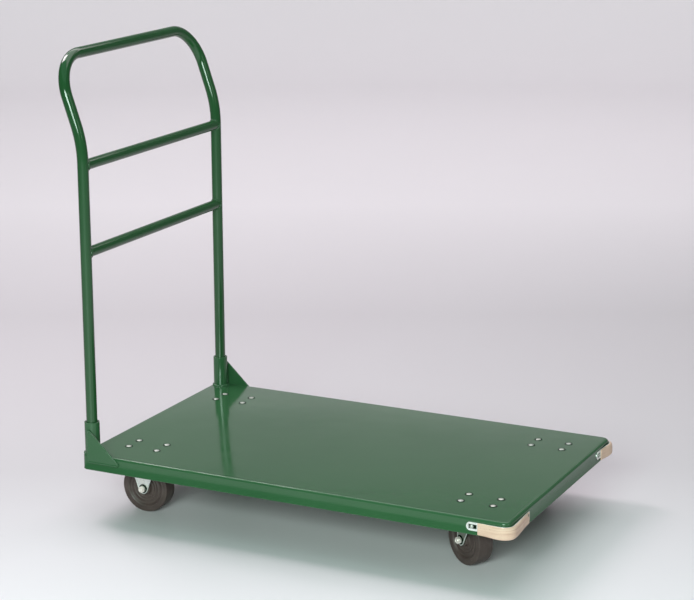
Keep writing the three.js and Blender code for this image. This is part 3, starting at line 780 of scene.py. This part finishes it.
def leg_outline(axle_x, rear, front, shoulder, top):
    """A leg's outline in X and Z: an eye round the axle, widening to its shoulders and straight above."""
    eye = 10.5 * MM
    z = WHEEL_RADIUS

    def touch(x, side):
        dx, dz = x - axle_x, shoulder - z
        return math.atan2(dz, dx) - side * math.acos(eye / math.hypot(dx, dz))

    start = math.degrees(touch(rear, -1))
    end = math.degrees(touch(front, 1)) + 360
    outline = [(front, top), (rear, top), (rear, shoulder)]
    outline += arc((axle_x, z), eye, start, end, 18)
    outline.append((front, shoulder))
    return outline


def legs(outline):
    """Both legs of a fork."""
    return [prism(outline, FORK_INSIDE, FORK_OUTSIDE), prism(outline, -FORK_OUTSIDE, -FORK_INSIDE)]


def leg_rim(outline, side):
    """The turned edge of a leg: a bead on its outer face, down one side and up the other."""
    inset, bead = 0.9 * MM, 1.0 * MM
    corners = [Vector((x, side * FORK_OUTSIDE, z)) for x, z in outline[1:] + outline[:1]]
    middle_x = sum(c.x for c in corners) / len(corners)
    path = [c + Vector((inset if c.x < middle_x else -inset, 0, 0)) for c in corners]
    return rod(densified(path, 2 * MM), bead, 10)


def plate_shape():
    """A caster's top plate."""
    half_x, half_y, corner = 45 * MM, 31 * MM, 6 * MM
    return slab(rounded_rectangle(half_x, half_y, corner, 5), PLATE_UNDER, PLATE_TOP)


def crown_shape():
    """The flat top of a swivel's fork, from the pivot back over the wheel."""
    half = -CROWN_REAR / 2
    outline = [(x - half, y) for x, y in rounded_rectangle(half, FORK_OUTSIDE, 3 * MM, 4)]
    return slab(outline, CROWN_UNDER, CROWN_TOP)


def upper_race_shape():
    """The cup under a swivel's plate: a flange, a rounded shoulder and a rim that hangs round the balls."""
    flange, rim, inside, bend = 29 * MM, 28.7 * MM, 26 * MM, 2.2 * MM
    sheet, foot = PLATE_UNDER - 3 * MM, PLATE_UNDER - 7.6 * MM
    section = [(0, PLATE_UNDER), (flange, PLATE_UNDER)]
    section += arc((rim - bend, PLATE_UNDER - 4 * MM), bend, 90, 0, 4)
    section += [(rim, foot), (inside, foot), (inside - 0.4 * MM, sheet), (0, sheet)]
    return turned(section, RACE_ROUND)


def lower_race_shape():
    """The dish on a fork's crown that the balls run in."""
    edge, wide, inside = 26.6 * MM, 27 * MM, 25 * MM
    lip, top = PLATE_UNDER - 4 * MM, PLATE_UNDER - 3.4 * MM
    section = [(0, CROWN_UNDER), (edge, CROWN_UNDER), (wide, CROWN_UNDER + 1.2 * MM), (edge, CROWN_TOP)]
    section += [(inside, CROWN_TOP + 0.6 * MM), (inside - 0.2 * MM, lip), (inside - 1 * MM, top), (0, top)]
    return turned(section, RACE_ROUND)


def kingpin_shape():
    """The kingpin: a riveted head under the crown, and a shank up to the plate."""
    head, shank, gap = 9 * MM, 5 * MM, 0.3 * MM
    drops = [(0, 5.3 * MM), (5.5 * MM, 5.1 * MM), (8.2 * MM, 3.4 * MM)]
    drops += [(head, 1.4 * MM), (head, gap), (shank, gap)]
    section = [(radius, CROWN_UNDER - drop) for radius, drop in drops]
    section += [(shank, PLATE_UNDER), (0, PLATE_UNDER)]
    return turned(section, SMALL_ROUND)


def fork_pieces(name, place, body, parts):
    """A fork's pieces from (shape, finish, bevel) parts, numbered in order."""
    for number, (shape, finish, bevel) in enumerate(parts):
        shape = moved(shape, place)
        piece(f"{name}_fork_{number}", shape, body, finish, [name + "_fork"], bevel=bevel, segments=4)


def rigid_caster(side):
    """A rear caster: a plate with two legs welded under it, fixed to the deck."""
    name = "rear_" + side
    x, y, z = JOINTS[name + "_roll"]["pos_m"]
    place = Matrix.Translation((x, y, 0))
    half, shoulder, weld_inset, rim_drop = 23.5 * MM, 85 * MM, 2 * MM, 2 * MM
    outline = leg_outline(0, -half, half, shoulder, PLATE_UNDER + LEG_BITE)
    parts = [(plate_shape(), ZINC, PLATE_EASE)]
    parts += [(leg, ZINC, LEG_EASE) for leg in legs(outline)]
    fork_pieces(name, place, "chassis", parts)
    outline = leg_outline(0, -half, half, shoulder, PLATE_UNDER - rim_drop)
    for leg_sign in (-1, 1):
        rim = moved(leg_rim(outline, leg_sign), place)
        piece(f"{name}_fork_rim_{leg_sign + 1}", rim, "chassis", ZINC)
        seam_y = leg_sign * (FORK_OUTSIDE + 0.4 * MM)
        seam = line((weld_inset - half, seam_y, PLATE_UNDER), (half - weld_inset, seam_y, PLATE_UNDER))
        bead = moved(weld_bead(seam, 1.8 * MM, seed=leg_sign), place)
        piece(f"{name}_fork_weld_{leg_sign + 1}", bead, "chassis", ZINC)
    axle_pieces(name, Matrix.Translation((x, y, z)), name + "_roller", "chassis")


def swivel_caster(side):
    """A front caster: a plate with its race and kingpin, and a fork that trails behind the pivot."""
    name = "front_" + side
    pivot = Vector(JOINTS[name + "_turn"]["pos_m"])
    axle = Vector(JOINTS[name + "_roll"]["pos_m"])
    back = axle - pivot
    turn = Matrix.Rotation(math.atan2(-back.y, -back.x), 4, "Z")
    fixed = Matrix.Translation((pivot.x, pivot.y, 0))
    place = fixed @ turn
    swivel = name + "_swivel"
    plate = moved(plate_shape(), fixed)
    piece(name + "_top_plate", plate, "chassis", ZINC, [name + "_plate"], bevel=PLATE_EASE)
    race = moved(upper_race_shape(), fixed)
    piece(name + "_upper_race", race, "chassis", ZINC, bevel=CROWN_EASE)
    kingpin = moved(kingpin_shape(), fixed)
    piece(name + "_rivet", kingpin, "chassis", BOLT_ZINC, [name + "_kingpin"])
    front, shoulder = 8 * MM, CROWN_UNDER - 4 * MM
    outline = leg_outline(-TRAIL, CROWN_REAR, front, shoulder, CROWN_UNDER + LEG_BITE)
    parts = [(crown_shape(), ZINC, CROWN_EASE), (lower_race_shape(), ZINC, CROWN_EASE)]
    parts += [(leg, SHADED_ZINC, LEG_EASE) for leg in legs(outline)]
    fork_pieces(name, place, swivel, parts)
    for leg_sign in (-1, 1):
        rim = moved(leg_rim(outline, leg_sign), place)
        piece(f"{name}_fork_rim_{leg_sign + 1}", rim, swivel, ZINC)
    axle_pieces(name, Matrix.Translation(axle) @ turn, name + "_roller", swivel)


for side in SIDES:
    rigid_caster(side)
    swivel_caster(side)

# ---- bumpers ---------------------------------------------------------
# A bumper is laid out along the deck's edge: along is the distance from the middle of the corner.

STRAP = {"low": 111.2 * MM, "high": 127.7 * MM, "start": -80.8 * MM, "thick": 1.6 * MM}
STRAP_MIDDLE = (STRAP["high"] + STRAP["low"]) / 2
TAB_SLOT = {"start": -76 * MM, "end": -59.6 * MM, "half": 4.1 * MM}
PAD = {"low": 103.6 * MM, "high": 127.8 * MM, "start": -57.8 * MM, "end": 90.8 * MM, "full": 14 * MM}
STRAP_END = PAD["end"] + 3.5 * MM


def smoothstep(value, low, high):
    share = min(max((value - low) / (high - low), 0.0), 1.0)
    return share * share * (3 - 2 * share)


def swell(along):
    """How much of its bulge a bumper has: none at the pad's ends, all of it round the corner."""
    full = PAD["full"]
    return smoothstep(along, PAD["start"], -full) * (1 - smoothstep(along, full, PAD["end"]))


def edge_point(along, offset, z):
    """A point of the deck's outline pushed out by offset. The corner of its rectangle is the origin."""
    r = DECK_CORNER
    turn = r * math.pi / 4
    if along < -turn:
        return Vector((along + turn - r, -offset, z))
    if along > turn:
        return Vector((offset, along - turn + r, z))
    angle = along / r - math.pi / 4
    return Vector(((r + offset) * math.cos(angle) - r, (r + offset) * math.sin(angle) + r, z))


def strap_inside(along):
    """How far the strap's inner face stands off the skirt."""
    gap, bulge = 0.3 * MM, 2.4 * MM
    return gap + bulge * swell(along)


def pad_inside(along):
    """How far the pad's inner face stands off the skirt."""
    return strap_inside(along) + STRAP["thick"] + 0.1 * MM


def stations(start, end, spacing):
    """Even steps from start to end, about as far apart as spacing."""
    count = round((end - start) / spacing)
    return [start + (end - start) * i / count for i in range(count + 1)]


def pad_ring(along):
    """The pad's section at a distance along: 25 points up its outer face and 4 down its flat back."""
    thin, bulge, crown_rise, lean_out = 1.5 * MM, 2.6 * MM, 0.5 * MM, 0.9 * MM
    narrow, pinch, ease_length, back_inset = 1.4 * MM, 0.5 * MM, 1.6 * MM, 0.4 * MM
    full = swell(along)
    ease = min(min(along - PAD["start"], PAD["end"] - along) / ease_length, 1.0)
    inner = pad_inside(along)
    thick = (thin + bulge * full) * (0.45 + 0.55 * ease)
    low = PAD["low"] + narrow * (1 - full) + pinch * (1 - ease)
    high = PAD["high"] - pinch * (1 - ease)
    tall = high - low
    ring = []
    for k in range(25):
        t = k / 24
        rim = 1 - abs(2 * t - 1) ** 7  # 1 over most of the face, dropping to 0 at its edges
        crown = crown_rise * math.sin(math.pi * t) * full
        lean = lean_out * (0.5 - t) * full
        ring.append(edge_point(along, inner + thick * (0.35 + 0.65 * rim) + crown + lean, low + tall * t))
    for t in (1, 2 / 3, 1 / 3, 0):
        ring.append(edge_point(along, inner, low + back_inset + (tall - 2 * back_inset) * t))
    return ring


def pad_shape():
    """The tan strip: thin at its ends, full round the corner, its outer face crowned and its edges eased."""
    return lofted([pad_ring(along) for along in stations(PAD["start"], PAD["end"], 1.5 * MM)])


def strap_ring(along):
    """The strap's section at a distance along: four points up its outer face and four down its inner one."""
    reach = (STRAP["high"] - STRAP["low"]) / 2
    from_tip = min(along - STRAP["start"], reach)
    half = math.sqrt(max(reach**2 - (reach - from_tip) ** 2, (0.6 * MM) ** 2))
    inner_half = TAB_SLOT["half"] if half > TAB_SLOT["half"] else half / 3
    heights = [STRAP_MIDDLE + rise for rise in (-half, -inner_half, inner_half, half)]
    inside = strap_inside(along)
    outer = [edge_point(along, inside + STRAP["thick"], z) for z in heights]
    return outer + [edge_point(along, inside, z) for z in reversed(heights)]


def strap_shape():
    """The zinc strap: a round-ended tab with a slot, then a plain band behind the pad."""
    columns = stations(STRAP["start"], STRAP_END, 1.0 * MM)
    rings = [strap_ring(along) for along in columns]
    size = len(rings[0])
    points = [p for ring in rings for p in ring]
    middles = [(before + after) / 2 for before, after in zip(columns, columns[1:])]
    open_cells = [TAB_SLOT["start"] <= along <= TAB_SLOT["end"] for along in middles]
    faces = []
    for i, is_open in enumerate(open_cells):
        a, b = i * size, (i + 1) * size
        for k in range(size):
            j = (k + 1) % size
            if is_open and k in (1, 5):  # the slot goes through the middle of both faces
                continue
            faces.append((a + k, a + j, b + j, b + k))
        if is_open:
            faces.append((a + 1, a + 6, b + 6, b + 1))
            faces.append((a + 2, b + 2, b + 5, a + 5))
    slot_ends = open_cells.index(True), len(open_cells) - open_cells[::-1].index(True)
    for a in (end * size for end in slot_ends):
        faces.append((a + 1, a + 2, a + 5, a + 6))
    faces.append(tuple(range(size - 1, -1, -1)))
    faces.append(tuple(range(len(points) - size, len(points))))
    return points, faces


def slot_painted_shade():
    """The dark plate of painted shade behind the tab's slot: a little larger than the slot, just off the
    skirt.
    """
    beyond_ends, beyond_sides, near, far = 1 * MM, 0.75 * MM, 0.08 * MM, 0.28 * MM
    half = TAB_SLOT["half"] + beyond_sides
    rear = edge_point(TAB_SLOT["start"] - beyond_ends, 0, 0).x
    front = edge_point(TAB_SLOT["end"] + beyond_ends, 0, 0).x
    low, high = STRAP_MIDDLE - half, STRAP_MIDDLE + half
    return prism([(rear, low), (front, low), (front, high), (rear, high)], -far, -near)


def screw_shape(head, height):
    """A round-headed screw, its seat at z = 0, standing along Z."""
    shank, tip = 2 * MM, -8 * MM
    section = [(0, tip - 1 * MM), (shank, tip), (shank, 0), (head * 0.96, 0), *dome(head, height, 0.2)]
    return turned(section, SMALL_ROUND)


def cut_groove(made, wide, deep, place):
    """Cuts a driver slot across a head that is in place: place carries the head's own axes there."""
    reach, half = 9 * MM, wide / 2
    outline = [(-reach, -half), (reach, -half), (reach, half), (-reach, half)]
    blade = bpy.data.meshes.new("blade")
    points, faces = moved(slab(outline, deep, reach), place)
    blade.from_pydata(points, [], faces)
    cutter = bpy.data.objects.new("blade", blade)
    bpy.context.scene.collection.objects.link(cutter)
    groove = made.modifiers.new("groove", "BOOLEAN")
    groove.operation = "DIFFERENCE"
    groove.object = cutter
    groove.solver = "EXACT"
    graph = bpy.context.evaluated_depsgraph_get()
    cut = bpy.data.meshes.new_from_object(made.evaluated_get(graph))
    made.modifiers.clear()
    made.data = cut
    bpy.data.objects.remove(cutter)


def screw_seats():
    """Each screw's seat on a bumper, which way it faces, its head's radius and height, groove and finish."""
    tab, end = -69.5 * MM, 82.8 * MM
    tab_seat = edge_point(tab, strap_inside(tab) + STRAP["thick"], STRAP_MIDDLE)
    end_seat = edge_point(end, pad_inside(end) + 1.5 * MM, STRAP["high"] - 4 * MM)
    return {
        "tab": (tab_seat, 0, 3.9 * MM, 2.4 * MM, 1.1 * MM, BOLT_ZINC),
        "end": (end_seat, math.pi / 2, 2.6 * MM, 1.4 * MM, 0.7 * MM, DARK_STEEL),
    }


def bumper(side, sign):
    """One bumper: the left one is the right one turned a quarter round."""
    corner = Vector((DECK_HIGH.x, sign * DECK_HIGH.y, 0))
    place = Matrix.Translation(corner) @ Matrix.Rotation(math.pi / 2 if sign > 0 else 0, 4, "Z")
    name = "bumper_" + side
    strap = moved(strap_shape(), place)
    piece(name + "_band", strap, "chassis", ZINC, [name + "_strap"], bevel=0.35 * MM)
    pad = moved(pad_shape(), place)
    piece(name + "_leather", pad, "chassis", TAN, [name + "_pad"], sharp=70)
    # a dark plate of painted shade fills the slot, where the hollow behind it lies in shadow
    piece(name + "_slot_painted_shade", moved(slot_painted_shade(), place), "chassis", DECK_PAINTED_SHADE)
    groove_turn = Matrix.Rotation(0.6, 4, "Z")
    for end, (seat, facing, head, height, groove, finish) in screw_seats().items():
        at = place @ Matrix.Translation(seat) @ Matrix.Rotation(facing, 4, "Z") @ UPRIGHT @ groove_turn
        node = f"{name}_{end}_screw"
        screw = piece(node + "_head", moved(screw_shape(head, height), at), "chassis", finish, [node])
        cut_groove(screw, groove, height * 0.45, at)


for side, sign in SIDES.items():
    bumper(side, sign)

# ---- stage, light and camera -----------------------------------------

VIEW_YAW, VIEW_PITCH, VIEW_ROLL = -0.4578, 0.2547, -0.0032
CAMERA_PLACE = Vector((1.7607, -3.5770, 1.47546))  # from the floor under the deck's middle
LENS, SENSOR = 108.008, 36  # in millimetres, as Blender has them

AWAY = Vector((-0.4419, 0.8970, 0))  # level, the way the camera looks
ACROSS = Vector((AWAY.y, -AWAY.x, 0))

# the flat floor's radius, the bend up into the wall, the wall's top, and the sides of the round
ROOM = {"flat": 5.6, "bend": 1.6, "height": 8.0, "sides": 96}
ROOM_SHADE = (0.1, 0.1, 0.105)
PAPER_REACH = 4.0
# the paper's painted shading, lighter and darker by where the light falls, at shares of the way from
# PAPER_REACH before the trolley to PAPER_REACH behind it
PAPER_PAINTED_SHADING = [
    (0.1, (0.4, 0.38, 0.4)),
    (0.3, (0.82, 0.74, 0.79)),
    (0.44, (0.84, 0.77, 0.82)),
    (0.53, (0.61, 0.555, 0.59)),
    (0.69, (0.54, 0.495, 0.525)),
    (0.87, (0.75, 0.695, 0.73)),
]

WORLD_COLOUR, WORLD_STRENGTH = (0.6, 1.0, 0.86, 1), 0.5
# each light's place and target, as about_trolley takes them, its size, its watts and its colour
LIGHTS = {
    "key": ((-1.45, 1.05, 2.5), (0, 0, 0), (0.7, 1.2), 36, (1, 0.89, 0.955)),
    "overhead": ((0.3, 0.9, 2.9), (0, 0.1, 0), (2.6, 1.8), 23, (1, 0.88, 0.95)),
    "front": ((-0.9, -4.4, 2.0), (0, 0, 0.2), (2.4, 1.4), 212, (0.78, 1, 0.9)),
    "side": ((2.6, -1.9, 1.9), (0, 0, 0.6), (0.25, 1.4), 6, (1, 1, 1)),
    "backdrop": ((0, 3.6, 4.0), (0, 5.6, 0), (8, 2.4), 185, (1, 0.9, 0.955)),
}


def about_trolley(across, away, up):
    """A place given from the deck's middle: across the view, away from the camera, and up."""
    return Vector((DECK_MIDDLE.x, DECK_MIDDLE.y, 0)) + ACROSS * across + AWAY * away + Vector((0, 0, up))


def paper():
    """Pale studio paper with painted shading that changes with distance, and painted shade at the room's
    sides and up its wall.
    """
    made = Shader("paper", IOR=1.5)
    axes = made.node("SeparateXYZ")
    made.link(made.place, axes.inputs[0])
    distance = made.ranged(axes.outputs["Y"], 0.0, 1.0, -PAPER_REACH, PAPER_REACH)
    mottle = made.ranged(made.noise(scale=0.7, detail=3), 0.0, 0.03)
    # the floor's painted shading by distance, with a faint random mottle
    painted_shading = made.mixed(mottle, made.ramp(distance, PAPER_PAINTED_SHADING), (0.5, 0.5, 0.5))
    half_wide, half_deep = 3.0, 6.5  # the oval that the paper is pale in
    oval = made.node("Mapping", Location=(0, -0.2, 0), Scale=(1 / half_wide, 1 / half_deep, 0))
    made.link(made.place, oval.inputs["Vector"])
    length = made.node("VectorMath")
    length.operation = "LENGTH"
    made.link(oval.outputs["Vector"], length.inputs[0])
    # painted shade: darker outside the oval and up the wall
    beside = made.ranged(length.outputs["Value"], 0.0, 0.8, 1.0, 1.7)
    above = made.ranged(axes.outputs["Z"], 0.0, 0.55, 1.25, 2.1)
    graded = made.mixed(above, painted_shading, ROOM_SHADE)
    made.colour(made.mixed(beside, graded, ROOM_SHADE))
    made.rough(made.ranged(made.noise(scale=3, detail=3), 0.42, 0.45))
    return made.material


def sweep_stage():
    """A round pale floor that curves up into a wall all round, well behind every camera."""
    flat, bend = ROOM["flat"], ROOM["bend"]
    rises = [math.radians(degrees) for degrees in range(3, 91, 3)]
    profile = [(0.0, 0.0), (1.5, 0.0), (flat, 0.0)]
    profile += [(flat + bend * math.sin(a), bend * (1 - math.cos(a))) for a in rises]
    profile.append((flat + bend, ROOM["height"]))
    mesh = bpy.data.meshes.new("floor")
    points, faces = turned(profile, ROOM["sides"])
    mesh.from_pydata(points, [], [face[:1] + face[:0:-1] for face in faces])  # turned over, to face in
    mesh.shade_smooth()
    mesh.materials.append(paper())
    floor = bpy.data.objects.new("floor", mesh)
    facing = Matrix.Rotation(math.atan2(ACROSS.y, ACROSS.x), 4, "Z")
    floor.matrix_world = Matrix.Translation(about_trolley(0, 0, 0)) @ facing
    bpy.context.scene.collection.objects.link(floor)


def area_light(name, place, target, size, power, colour):
    data = bpy.data.lights.new(name, "AREA")
    data.shape = "RECTANGLE"
    data.size, data.size_y = size
    data.energy = power
    data.color = colour
    made = bpy.data.objects.new(name, data)
    made.location = place
    made.rotation_euler = (target - place).to_track_quat("-Z", "Y").to_euler()
    bpy.context.scene.collection.objects.link(made)


def light_stage():
    """A dim tinted world and the studio's lights."""
    world = bpy.data.worlds.new("studio")
    world.use_nodes = True
    background = world.node_tree.nodes["Background"]
    background.inputs["Color"].default_value = WORLD_COLOUR
    background.inputs["Strength"].default_value = WORLD_STRENGTH
    bpy.context.scene.world = world
    for name, (place, target, size, power, colour) in LIGHTS.items():
        area_light(name, about_trolley(*place), about_trolley(*target), size, power, colour)


def camera():
    """The camera, turned by yaw from +Y, pitched down and rolled a little."""
    level = math.cos(VIEW_PITCH)
    ahead = Vector((math.sin(VIEW_YAW) * level, math.cos(VIEW_YAW) * level, -math.sin(VIEW_PITCH)))
    right = Vector((math.cos(VIEW_YAW), -math.sin(VIEW_YAW), 0))
    up = right.cross(ahead)
    rolled_right = right * math.cos(VIEW_ROLL) + up * math.sin(VIEW_ROLL)
    rolled_up = up * math.cos(VIEW_ROLL) - right * math.sin(VIEW_ROLL)
    data = bpy.data.cameras.new("camera")
    data.lens = LENS
    data.sensor_width = SENSOR
    made = bpy.data.objects.new("camera", data)
    turn = Matrix((rolled_right, rolled_up, -ahead)).transposed().to_4x4()
    made.matrix_world = Matrix.Translation(CAMERA_PLACE + Vector((DECK_MIDDLE.x, 0, 0))) @ turn
    bpy.context.scene.collection.objects.link(made)
    bpy.context.scene.camera = made


sweep_stage()
light_stage()
camera()
bpy.context.scene.view_settings.view_transform = "Standard"
